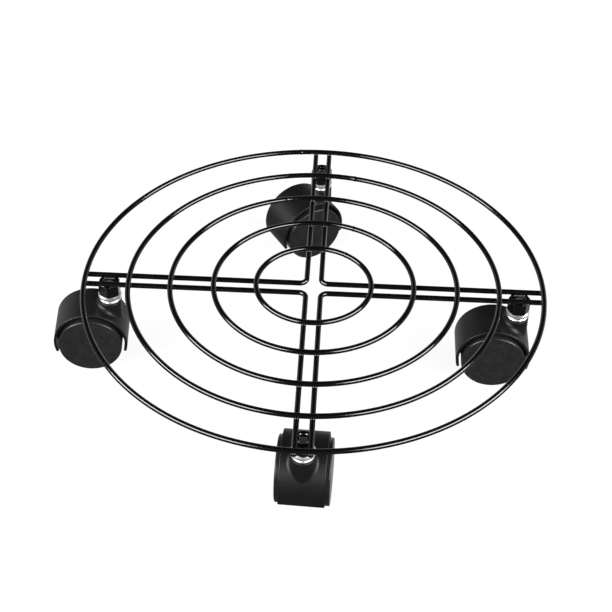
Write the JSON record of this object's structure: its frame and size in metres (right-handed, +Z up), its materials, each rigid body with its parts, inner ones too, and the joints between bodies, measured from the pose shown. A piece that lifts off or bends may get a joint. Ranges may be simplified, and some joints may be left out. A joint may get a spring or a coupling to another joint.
{
  "type": "plant pot caddy",
  "caption": "Round black wire plant pot caddy: concentric rings on a cross of bent wires, on hooded twin-wheel swivel casters.",
  "frame": {"origin": "on the floor, under the centre of the rings", "axes": "+Z up; the arms lie along X and Y, with the right, left, front and rear casters at +X, -X, -Y and +Y"},
  "size_m": [0.3226, 0.3007, 0.069],
  "materials": {
    "black_wire": "black powder coat, satin",
    "black_nut": "black powder coat over the welded nut",
    "zinc_plated_steel": "bright zinc plate",
    "spring_steel": "oiled spring steel",
    "axle_steel": "drawn steel pin",
    "hood_nylon": "moulded black nylon, satin",
    "wheel_nylon": "moulded black nylon, matt face"
  },
  "bodies": {
    "frame": {"outer_ring": "black_wire", "second_ring": "black_wire", "third_ring": "black_wire", "fourth_ring": "black_wire", "inner_ring": "black_wire", "corner_wire_rear_right": "black_wire", "corner_wire_rear_left": "black_wire", "corner_wire_front_left": "black_wire", "corner_wire_front_right": "black_wire", "left_weld_nut": "black_nut", "left_stem": "zinc_plated_steel", "left_snap_ring": "spring_steel", "right_weld_nut": "black_nut", "right_stem": "zinc_plated_steel", "right_snap_ring": "spring_steel", "front_weld_nut": "black_nut", "front_stem": "zinc_plated_steel", "front_snap_ring": "spring_steel", "rear_weld_nut": "black_nut", "rear_stem": "zinc_plated_steel", "rear_snap_ring": "spring_steel"},
    "left_caster": {"left_hood": "hood_nylon", "left_axle": "axle_steel"},
    "left_wheel_a": {"left_wheel_a": "wheel_nylon"},
    "left_wheel_b": {"left_wheel_b": "wheel_nylon"},
    "right_caster": {"right_hood": "hood_nylon", "right_axle": "axle_steel"},
    "right_wheel_a": {"right_wheel_a": "wheel_nylon"},
    "right_wheel_b": {"right_wheel_b": "wheel_nylon"},
    "front_caster": {"front_hood": "hood_nylon", "front_axle": "axle_steel"},
    "front_wheel_a": {"front_wheel_a": "wheel_nylon"},
    "front_wheel_b": {"front_wheel_b": "wheel_nylon"},
    "rear_caster": {"rear_hood": "hood_nylon", "rear_axle": "axle_steel"},
    "rear_wheel_a": {"rear_wheel_a": "wheel_nylon"},
    "rear_wheel_b": {"rear_wheel_b": "wheel_nylon"}
  },
  "joints": [
    {"name": "left_swivel", "type": "hinge", "parent": "frame", "child": "left_caster", "pos_m": [-0.1334, 0, 0.048], "axis": [0, 0, 1], "continuous": true},
    {"name": "left_wheel_a_spin", "type": "hinge", "parent": "left_caster", "child": "left_wheel_a", "pos_m": [-0.14736, -0.00105, 0.0208], "axis": [0.075, -0.9972, 0], "continuous": true},
    {"name": "left_wheel_b_spin", "type": "hinge", "parent": "left_caster", "child": "left_wheel_b", "pos_m": [-0.14736, -0.00105, 0.0208], "axis": [0.075, -0.9972, 0], "continuous": true},
    {"name": "right_swivel", "type": "hinge", "parent": "frame", "child": "right_caster", "pos_m": [0.1334, 0, 0.048], "axis": [0, 0, 1], "continuous": true},
    {"name": "right_wheel_a_spin", "type": "hinge", "parent": "right_caster", "child": "right_wheel_a", "pos_m": [0.1194, 0, 0.0208], "axis": [0, -1, 0], "continuous": true},
    {"name": "right_wheel_b_spin", "type": "hinge", "parent": "right_caster", "child": "right_wheel_b", "pos_m": [0.1194, 0, 0.0208], "axis": [0, -1, 0], "continuous": true},
    {"name": "front_swivel", "type": "hinge", "parent": "frame", "child": "front_caster", "pos_m": [0, -0.1334, 0.048], "axis": [0, 0, 1], "continuous": true},
    {"name": "front_wheel_a_spin", "type": "hinge", "parent": "front_caster", "child": "front_wheel_a", "pos_m": [0.00061, -0.11941, 0.0208], "axis": [-0.999, 0.0436, 0], "continuous": true},
    {"name": "front_wheel_b_spin", "type": "hinge", "parent": "front_caster", "child": "front_wheel_b", "pos_m": [0.00061, -0.11941, 0.0208], "axis": [-0.999, 0.0436, 0], "continuous": true},
    {"name": "rear_swivel", "type": "hinge", "parent": "frame", "child": "rear_caster", "pos_m": [0, 0.1334, 0.048], "axis": [0, 0, 1], "continuous": true},
    {"name": "rear_wheel_a_spin", "type": "hinge", "parent": "rear_caster", "child": "rear_wheel_a", "pos_m": [-0.01182, 0.1259, 0.0208], "axis": [0.5358, -0.8443, 0], "continuous": true},
    {"name": "rear_wheel_b_spin", "type": "hinge", "parent": "rear_caster", "child": "rear_wheel_b", "pos_m": [-0.01182, 0.1259, 0.0208], "axis": [0.5358, -0.8443, 0], "continuous": true}
  ]
}
